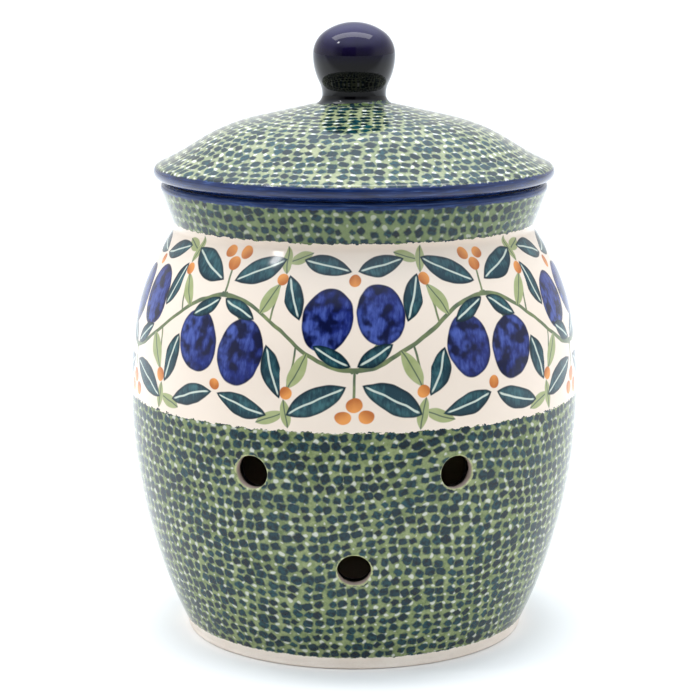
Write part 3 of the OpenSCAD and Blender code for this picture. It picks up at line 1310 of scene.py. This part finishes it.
    def pierce(
        self,
        turning: Turning,
        rows: tuple[int, int],
        shared: np.ndarray,
        reach: float,
        vents: Vents,
        middle: tuple[float, float],
    ) -> None:
        """Cuts one vent: a square of faces gives way to rings that close in and pass through.

        Outside, rings at offset rho * (cos, sin) run from the square to the start of the fillet.
        The fillet is rho = hole + f (1 - sin b), sunk by f (1 - cos b) along the vent's axis, for b
        from 0 to a right angle. Straight rings and the same in reverse lead to the inside wall.

        Args:
            turning: the jar's surface.
            rows: rows of the shared angles' first point, outside and inside.
            shared: belly angles of the rows that both walls share.
            reach: reach along the outline at the first of them, outside.
            vents: sizes of the vents.
            middle: turn and height angle of the vent's middle.
        """
        h = vents.half_block
        col = round(((middle[0] - SEAM) % TURN) / turning.step)
        row = int(np.argmin(np.abs(shared - middle[1])))
        side = np.arange(-h, h)
        fix = np.full(2 * h, h)
        rows_in = row + np.concatenate((-fix, side, fix, -side))
        cols = col + np.concatenate((side, fix, -side, -fix))
        for wall_row in (rows[0] + row, rows[1] - row):
            turning.kept[wall_row - h - 1 : wall_row + h - 1, col - h : col + h] = False
        hole, f = vents.width / 2, vents.fillet
        turn_mid = SEAM + col * turning.step
        aside = (middle[0] - turn_mid + math.pi) % TURN - math.pi
        start = (SEAM + cols * turning.step - turn_mid) - aside
        tilt = shared[rows_in] - middle[1]
        level = math.cos(middle[1])
        axis = np.array(
            [level * math.sin(middle[0]), -level * math.cos(middle[0]), math.sin(middle[1])]
        )
        share = np.linspace(0, 1, vents.flat_rings + 1)[1:, None]
        b = np.linspace(0, math.pi / 2, vents.fillet_rings + 1)[1:, None]
        walls = []
        for radius, inward in ((self.arc_r, -1), (self.arc_r - self.wall, 1)):
            away = self.arc_c[0] + radius * np.cos(shared[rows_in])
            offset = np.column_stack((start * away, tilt * radius))
            far = np.linalg.norm(offset, axis=1)
            aim = offset / far[:, None]
            flat = far + (hole + f - far) * (1 - (1 - share) ** vents.crowding)
            rho = np.vstack((flat, hole + f * (1 - np.sin(b)) + 0 * far))
            sunk = np.vstack((0 * flat, f * (1 - np.cos(b)) + 0 * far))
            points, turns, tilts = self.wall_point(radius, middle, rho[..., None] * aim)
            walls.append((points + inward * sunk[..., None] * axis, turns, tilts, rho))
        out, turns, tilts, rho = walls[0]
        back = walls[1][0][::-1]
        between = np.linspace(0, 1, vents.bore_rings + 2)[1:-1, None, None]
        tube = out[-1] + between * (back[0] - out[-1])
        rings = np.concatenate((out, tube, back))
        run = reach + (tilts - shared[0]) * self.arc_r
        chart = np.stack((((turns - SEAM) / TURN) % 1, run), axis=-1)
        chart = np.concatenate((chart, np.repeat(chart[-1:], len(tube) + len(back), axis=0)))
        flat_edge = rho[: len(share)] - hole - f
        bend_edge = np.broadcast_to(-f * b, (len(b), len(cols)))
        deep = np.linalg.norm(np.concatenate((tube, back)) - out[-1], axis=-1)
        edge = np.concatenate((flat_edge, bend_edge, -f * math.pi / 2 - deep))
        finishes = np.full(len(rings) + 1, int(Finish.SPONGED))
        finishes[-len(share) :] = int(Finish.LINING)
        loops = (turning.vertex(rows[0] + rows_in, cols), turning.vertex(rows[1] - rows_in, cols))
        turning.patch(loops, rings, chart, edge.ravel(), finishes)

    def sponged(self, reach_at: Callable[[float], float]) -> bpy.types.Material:
        """Mixes the sponged zones: dabs, with cobalt at the rim and bare clay at the foot.

        Args:
            reach_at: function from a height to the reach along the outside there.

        Returns:
            The finished material.
        """
        mix = FinishMixer("sponged_glazed_stoneware")
        dabs, clay, glaze = SpongedDabs(), BareClay(), ClearGlaze()
        chart, turn, reach = mix.chart()
        fray, edge = mix.frayed(reach, 2.4)
        top, rim, foot = map(reach_at, (self.mosaic_top, self.rim_band, self.glaze_line))
        loose = mix.slacken(chart, TURN * self.mean_r, *dabs.slack)
        lush = mix.add("Math.GREATER_THAN", reach, reach_at(self.band_top) - 2)
        colour = dabs.colour(mix, *loose, lush)
        above = mix.add("Math.GREATER_THAN", edge, top - 0.1)
        slip = mix.add("Math.MULTIPLY", above, mix.add("Math.LESS_THAN", reach, top + 3))
        colour = mix.add("Mix.RGBA", slip, colour, VineFrieze.ground)
        blue = mix.add("MapRange", edge, rim - 0.25, rim + 0.25)
        colour = mix.add("Mix.RGBA", blue, colour, CobaltBand().colour(mix, turn, reach))
        bare = mix.add("MapRange", edge, foot + 0.2, foot - 0.2)
        colour = mix.add("Mix.RGBA", bare, colour, clay.colour(mix))
        colour = VentGlaze().colour(mix, colour, fray)
        rough = mix.add("MapRange", bare, 0.0, 1.0, glaze.gloss, clay.roughness)
        return glaze.coat(mix, colour, rough)

    def painted(self, reach_at: Callable[[float], float]) -> bpy.types.Material:
        """Mixes the painted band: brushwork on cream slip, a painted shadow darkening its top under
        the collar, and sponge marks over its two edges.

        Args:
            reach_at: function from a height to the reach along the outside there.

        Returns:
            The finished material.
        """
        mix = FinishMixer("hand_painted_glazed_stoneware")
        vine = VineFrieze()
        chart, _, reach = mix.chart()
        low, high = reach_at(self.mosaic_top), reach_at(self.band_top)
        drawn = mix.slacken(chart, TURN * self.mean_r, *vine.wobble)
        colour = vine.colour(mix, *drawn, (low + high) / 2)
        # Painted shadow: the top 14 mm of the band, under the collar, is darkened by multiplying in
        # the shadow tint
        thin = mix.add("MapRange.SMOOTHSTEP", reach, high - 14, high, 0.0, 0.15)
        colour = mix.add("Mix.RGBA", thin, colour, vine.under_collar_painted_shadow, blend_type="MULTIPLY")
        edge = mix.frayed(reach, 2.8)[1]
        under = mix.add("Math.LESS_THAN", edge, low + 0.1)
        over = mix.add("Math.GREATER_THAN", edge, high - 0.35)
        stray = SpongedDabs().smear(mix, (3.4, 1.0, 0.5), (0.5, 0.54))[0]
        colour = mix.add("Mix.RGBA", mix.add("Math.MAXIMUM", under, over), colour, stray)
        return ClearGlaze().coat(mix, colour)

    def build(
        self, vents: Vents, lining: bpy.types.Material, clay: bpy.types.Material
    ) -> bpy.types.Object:
        """Builds and dresses the jar.

        Args:
            vents: sizes of its vents.
            lining: finish of its inside.
            clay: finish of its foot and of the rim's seat.

        Returns:
            The finished piece.
        """
        outline, outer, inner, shared = self.outline()
        reach = outline.lengths()
        reach = reach - reach[outer] + (shared[0] - self.foot_a) * self.arc_r
        turning = Turning(outline, reach, self.columns)
        places = ((0.0, vents.low), (-vents.spread, vents.high), (vents.spread, vents.high))
        for group in range(vents.groups):
            for spread, z in places:
                turn = TURN * group / vents.groups + math.radians(spread)
                middle = (turn, math.asin((z - self.belly_h) / self.arc_r))
                self.pierce(turning, (outer, inner), shared, reach[outer], vents, middle)
        glazed = int(np.argmax(outline.finishes == int(Finish.SPONGED)))
        wall = slice(glazed, int(np.argmax(outline.section[:, 1])))
        heights, along = outline.section[wall, 1], reach[wall]

        def reach_at(z: float) -> float:
            """Returns the reach along the outside at a height."""
            return float(np.interp(z, heights, along))

        materials = [self.sponged(reach_at), lining, clay, self.painted(reach_at)]
        return put_mesh("jar_body", turning, materials)


@dataclass
class Knob:
    """The luted knob: a rounded cap over a drawn-in neck that spreads to a foot."""

    base: float
    height: float = 35.0
    width: float = 35.8
    cap_h: float = 14.0
    side_r: float = 12.2
    low_r: float = 27.0
    neck_d: float = 27.8
    neck_r: float = 11.5
    foot_slope: float = 25.0
    columns: int = 160

    def __post_init__(self) -> None:
        """Works out the arcs: cap, side, low side, hollow neck and foot, each touching the next."""
        r, top = self.width / 2, self.base + self.height
        z = top - self.cap_h
        self.side_c = np.array([r - self.side_r, z])
        rise = self.cap_h - self.side_r
        self.cap_r = (self.cap_h**2 + self.side_c[0] ** 2 - self.side_r**2) / (2 * rise)
        self.cap_c = np.array([0, top - self.cap_r])
        self.low_c = np.array([r - self.low_r, z])
        x = self.neck_d / 2 + self.neck_r
        drop = math.sqrt((self.low_r + self.neck_r) ** 2 - (x - self.low_c[0]) ** 2)
        self.hollow_c = np.array([x, z - drop])
        slope = math.radians(self.foot_slope)
        self.spread_r = (self.hollow_c[1] - self.base) / math.cos(slope)
        self.spread_c = np.array([self.neck_d / 2 + self.spread_r, self.hollow_c[1]])
        self.foot_r = self.spread_c[0] - self.spread_r * math.sin(slope)

    def build(self) -> bpy.types.Object:
        """Builds and dresses the knob.

        Returns:
            The finished piece.
        """
        made, fine = Outline(), 0.7
        foot = 1.5 * math.pi - math.radians(self.foot_slope)
        meet = unit(self.low_c - self.hollow_c)
        crest = angle(self.side_c - self.cap_c)
        runs = (
            straight((0, self.base), (self.foot_r, self.base), 4),
            arc(self.spread_c, self.spread_r, foot, math.pi, 0.4),
            arc(self.hollow_c, self.neck_r, math.pi, angle(meet), fine),
            arc(self.low_c, self.low_r, angle(-meet), 0, fine),
            arc(self.side_c, self.side_r, 0, crest, fine),
            arc(self.cap_c, self.cap_r, crest, math.pi / 2, 0.9),
        )
        for run in runs:
            made.run(run, Finish.SPONGED)
        made.section[-1, 0] = 0
        turning = Turning(made, made.lengths(), self.columns)
        return put_mesh("lid_knob", turning, [DarkCobalt().material(self.base)])


@dataclass
class Lid:
    """The cover: sloping crown, dome, hollow flare and rounded edge over a seat and a flange."""

    jar: Jar
    knob_foot: float
    overhang: float = 2.9
    edge_r: float = 3.4
    edge_gap: float = 1.1
    crown_h: float = 33.4
    crown_slope: float = 12.8
    crown_w: float = 27.6
    dome_r: float = 79.0
    flare_r: float = 132.0
    thick: float = 6.0
    flange_h: float = 11.0
    flange_t: float = 5.5
    flange_gap: float = 1.2
    heel_a: float = -1.84
    crown_round: float = 5.0
    hollow_turn: float = 3.0
    hollow_round: float = 2.5
    ledge_w: float = 2.5
    heel_w: float = 0.75
    worn: float = 0.7
    band: float = 205.4
    mean_r: float = 60.0
    columns: int = 256

    def __post_init__(self) -> None:
        """Works out the arcs: dome, flare and edge each leave the last one smoothly."""
        seat = self.jar.height
        slope = math.radians(self.crown_slope)
        self.top = seat + self.crown_h
        self.crown_out = np.array([math.sin(slope), math.cos(slope)])
        self.crown_end = np.array(
            [self.knob_foot + self.crown_w, self.top - self.crown_w * math.tan(slope)]
        )
        self.dome_c = self.crown_end - self.dome_r * self.crown_out
        self.edge_c = np.array(
            [self.jar.rim_r + self.overhang - self.edge_r, seat + self.edge_gap + self.edge_r]
        )
        to_edge, arm = self.edge_c - self.dome_c, self.dome_r + self.flare_r
        far = np.linalg.norm(to_edge)
        self.flare_a = angle(to_edge) + math.acos(
            (arm**2 + far**2 - (self.flare_r + self.edge_r) ** 2) / (2 * arm * far)
        )
        self.flare_c = self.dome_c + arm * toward(self.flare_a)
        mouth = self.jar.collar_at(self.jar.wall, seat - self.flange_h)
        self.flange_r = mouth[0] - self.flange_gap

    def outline(self) -> tuple[Outline, int]:
        """Draws the section, from the hollow's middle out under the lid and back over its top.

        Returns:
            The outline, and the row where its decorated top starts.
        """
        made = Outline()
        seat, inside = self.jar.height, self.flange_r - self.flange_t
        inner_r, ceiling = self.dome_r - self.thick, self.top - self.thick
        crown_a, round_r = angle(self.crown_out), self.flange_t / 2
        bend = self.knob_foot - self.thick * math.tan(math.radians(self.crown_slope / 2))
        slope_end = self.crown_end - self.thick * self.crown_out
        roof = [(0, ceiling), (bend, ceiling), tuple(slope_end)]
        made.run(soften(roof, self.crown_round), Finish.LINING)
        meet = math.acos((inside - self.hollow_turn - self.dome_c[0]) / inner_r)
        made.run(arc(self.dome_c, inner_r, crown_a, meet), Finish.LINING)
        end = made.section[-1]
        round_c = np.array([self.flange_r - round_r, seat - self.flange_h + round_r])
        turn = [tuple(end), (inside, end[1] - self.hollow_turn), (inside, round_c[1])]
        made.run(soften(turn, self.hollow_round), Finish.LINING)
        made.run(arc(round_c, round_r, math.pi, TURN, 0.7), Finish.BARE)
        heel = self.edge_c + self.edge_r * toward(self.heel_a)
        ledge = (heel[0] - self.ledge_w, seat)
        flange = [(self.flange_r, round_c[1]), (self.flange_r, seat), ledge]
        made.run(soften(flange, self.worn), Finish.BARE)
        under = [ledge, (heel[0] - self.heel_w, seat), tuple(heel)]
        made.run(soften(under, self.worn), Finish.SPONGED)
        crest = angle(self.flare_c - self.edge_c)
        flare = (angle(self.edge_c - self.flare_c), self.flare_a - math.pi)
        edge_row = made.run(arc(self.edge_c, self.edge_r, self.heel_a, crest, 0.6), Finish.SPONGED)
        made.run(arc(self.flare_c, self.flare_r, *flare), Finish.SPONGED)
        made.run(arc(self.dome_c, self.dome_r, self.flare_a, crown_a), Finish.SPONGED)
        made.run(straight(made.section[-1], (self.knob_foot, self.top)), Finish.SPONGED)
        made.run(straight(made.section[-1], (0, self.top), 4), Finish.SPONGED)
        return made, edge_row

    def dress(self, band: float) -> bpy.types.Material:
        """Mixes the top: sponged dabs in rings and a cobalt edge.

        Args:
            band: reach from the axis to the top of the cobalt edge.

        Returns:
            The finished material.
        """
        mix = FinishMixer("sponged_glazed_stoneware_lid")
        dabs = SpongedDabs(
            swell=(0.0, 0.99, -0.0004),
            slack=((55.0, 9.0), (4.2, 1.7)),
            slate="#021F25",
            teal="#0C4850",
            leaf="#75825A",
            olive="#A5A983",
            cream="#E3E4DA",
        )
        cobalt = CobaltBand(blue="#1C3266", deep="#0F1D42", light="#456096")
        chart, turn, reach = mix.chart()
        loose = mix.slacken(chart, TURN * self.mean_r, *dabs.slack)
        colour = dabs.colour(mix, *loose)
        edge = mix.frayed(reach, 2.2)[1]
        blue = mix.add("MapRange", edge, band - 0.25, band + 0.25)
        colour = mix.add("Mix.RGBA", blue, colour, cobalt.colour(mix, turn, reach))
        return ClearGlaze(ior=1.5).coat(mix, colour)

    def build(self, lining: bpy.types.Material, clay: bpy.types.Material) -> bpy.types.Object:
        """Builds and dresses the lid.

        Args:
            lining: finish of its hollow.
            clay: finish of its flange and seat.

        Returns:
            The finished piece.
        """
        outline, edge_row = self.outline()
        along = outline.lengths()
        reach = along[-1] - along
        top = slice(edge_row, None)
        band = float(np.interp(self.band, outline.section[top, 1], reach[top]))
        turning = Turning(outline, reach, self.columns)
        return put_mesh("lid_cover", turning, [self.dress(band), lining, clay])


@dataclass
class Studio:
    """A white sweep under soft light, with the camera where the photographer stood.

    Places and sizes are in metres. The world's directions are slopes against the way to the front.
    """

    camera_place: tuple[float, float, float] = (0.0, -0.9578, 0.3070)
    camera_drop: float = 0.19
    lens: float = 112.72
    shift: float = -0.00586
    tent: float = 2.05
    wall: float = 0.96
    front: float = 0.27
    front_way: tuple[float, float, float] = (0.0, -0.966, 0.259)
    front_fade: tuple[float, float] = (0.35, 0.8)
    tent_fade: tuple[float, float] = (0.42, 0.86)
    sky_fade: tuple[float, float] = (0.2, 0.6)
    pane_aside: float = -0.3
    pane_up: float = 0.29
    pane_half: tuple[float, float] = (0.36, 0.38)
    pane_blur: float = 0.06
    pane_light: float = 0.1
    daylight: str = "#EAF4FF"
    plaster: str = "#FCFEFF"
    white: str = "#FFFFFF"
    paper: str = "#F6F4F1"
    paper_pale: str = "#F8F6F4"
    paper_near: str = "#B9B7B4"
    paper_fade: tuple[float, float] = (-0.16, -0.4)
    tooth_mm: float = 40.0
    floor_half: float = 30.0
    floor_gap: float = 0.0002

    def world(self) -> None:
        """Lights the room: a bright tent, walls that dim to the front, and a dark pane there."""
        world = bpy.data.worlds.new("white_room")
        world.use_nodes = True
        mix = Mixer(world.node_tree)
        way = mix.add("TexCoord", out="Generated")
        x = mix.add("SeparateXYZ", way, out="X")
        y, z = x.node.outputs["Y"], x.node.outputs["Z"]
        aim = mix.add("VectorMath.DOT_PRODUCT", way, self.front_way, out="Value")
        light = mix.add("MapRange.SMOOTHSTEP", aim, *self.front_fade, self.wall, self.front)
        high = mix.add("MapRange.SMOOTHSTEP", z, *self.tent_fade)
        light = mix.add("Mix", high, light, self.tent)
        clear = mix.add("Math.GREATER_THAN", y, 0.0)
        offsets = ((x, self.pane_aside), (z, self.pane_up))
        for (part, offset), half in zip(offsets, self.pane_half):
            off = mix.add("Math.ADD", mix.add("Math.DIVIDE", part, y), offset)
            off = mix.add("Math.ABSOLUTE", off)
            out = mix.add("MapRange", off, half, half + self.pane_blur)
            clear = mix.add("Math.MAXIMUM", clear, out)
        dim = mix.add("MapRange", clear, 0.0, 1.0, self.pane_light, 1.0)
        light = mix.add("Math.MULTIPLY", light, dim)
        seen = mix.add("LightPath", out="Is Camera Ray")
        light = mix.add("Mix", seen, light, 1.0)
        sky = mix.add("MapRange", z, *self.sky_fade)
        tint = mix.add("Mix.RGBA", sky, self.plaster, self.daylight)
        tint = mix.add("Mix.RGBA", seen, tint, self.white)
        mix.add("OutputWorld", mix.add("Background", tint, light))
        bpy.context.scene.world = world

    def lamp(
        self,
        name: str,
        place: tuple[float, float, float],
        aim: tuple[float, float, float],
        size: tuple[float, float],
        watts: float,
    ) -> None:
        """Hangs one soft box.

        Args:
            name: name of the light.
            place: where it hangs.
            aim: what it points at.
            size: its two sides.
            watts: its power.
        """
        light = bpy.data.lights.new(name, "AREA")
        light.shape = "RECTANGLE"
        light.size, light.size_y = size
        light.energy = watts
        box = show(name, light)
        box.location = place
        way = Vector(aim) - Vector(place)
        box.rotation_euler = way.to_track_quat("-Z", "Y").to_euler()
        box.visible_camera = False

    def floor(self) -> None:
        """Lays a matte white paper floor under the foot, grey before the camera."""
        mesh = bpy.data.meshes.new("paper_floor")
        corners = np.array([[-1, -1], [1, -1], [1, 1], [-1, 1]]) * self.floor_half
        sheet = np.column_stack((corners, np.full(4, -self.floor_gap)))
        mesh.from_pydata(sheet.tolist(), [], [[0, 1, 2, 3]])
        mix = FinishMixer("matte_white_paper")
        tooth = mix.add("TexNoise", mix.place, 1 / (self.tooth_mm * MM), 2.0, 0.5)
        colour = mix.add("Mix.RGBA", tooth, self.paper, self.paper_pale)
        y = mix.add("SeparateXYZ", mix.place, out="Y")
        near = mix.add("MapRange", y, *self.paper_fade)
        colour = mix.add("Mix.RGBA", near, colour, self.paper_near)
        feeds = {"Base Color": colour, "Roughness": 0.9, "Specular IOR Level": 0.1}
        mix.add("OutputMaterial", mix.add("BsdfPrincipled", named=feeds))
        mesh.materials.append(mix.material)
        show("paper_floor", mesh)

    def camera(self) -> None:
        """Sets the camera level with the knob, tipped down on the jar."""
        data = bpy.data.cameras.new("camera")
        data.sensor_width = 36.0
        data.lens = self.lens
        data.shift_x = self.shift
        data.clip_end = 100.0
        eye = show("camera", data)
        eye.location = self.camera_place
        eye.rotation_euler = (math.pi / 2 - self.camera_drop, 0.0, 0.0)
        bpy.context.scene.camera = eye

    def build(self) -> None:
        """Sets up the room, the lights, the floor and the camera."""
        self.world()
        above = (-0.17, 0.12)
        self.lamp("overhead_strip", (*above, 1.75), (*above, 0.0), (2.2, 0.7), 22.0)
        self.lamp("left_lamp", (-1.0, -0.55, 1.5), (0.0, 0.0, 0.2), (0.13, 0.19), 2.0)
        self.floor()
        self.camera()
        bpy.context.scene.view_settings.view_transform = "Standard"


def settle(piece: bpy.types.Object, body: Body, node: str) -> None:
    """Puts a finished piece in the place of its solid.

    Args:
        piece: the piece.
        body: the body that it rides on.
        node: the solid that it stands for.
    """
    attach(piece, body.value)
    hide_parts(node)
    log.info("%s stands for %s, %d faces", piece.name, node, len(piece.data.polygons))


def main() -> None:
    """Builds the pieces in order, then the studio."""
    logging.basicConfig(level=logging.INFO, format="%(message)s")
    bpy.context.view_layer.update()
    clay, lining = BareClay().material(), BuffLining().material()
    jar = Jar()
    settle(jar.build(Vents(), lining, clay), Body.JAR, "jar")
    knob = Knob(base=jar.height + Lid.crown_h)
    lid = Lid(jar=jar, knob_foot=knob.foot_r)
    settle(lid.build(lining, clay), Body.LID, "lid")
    settle(knob.build(), Body.LID, "knob")
    Studio().build()


if __name__ == "__main__":
    main()
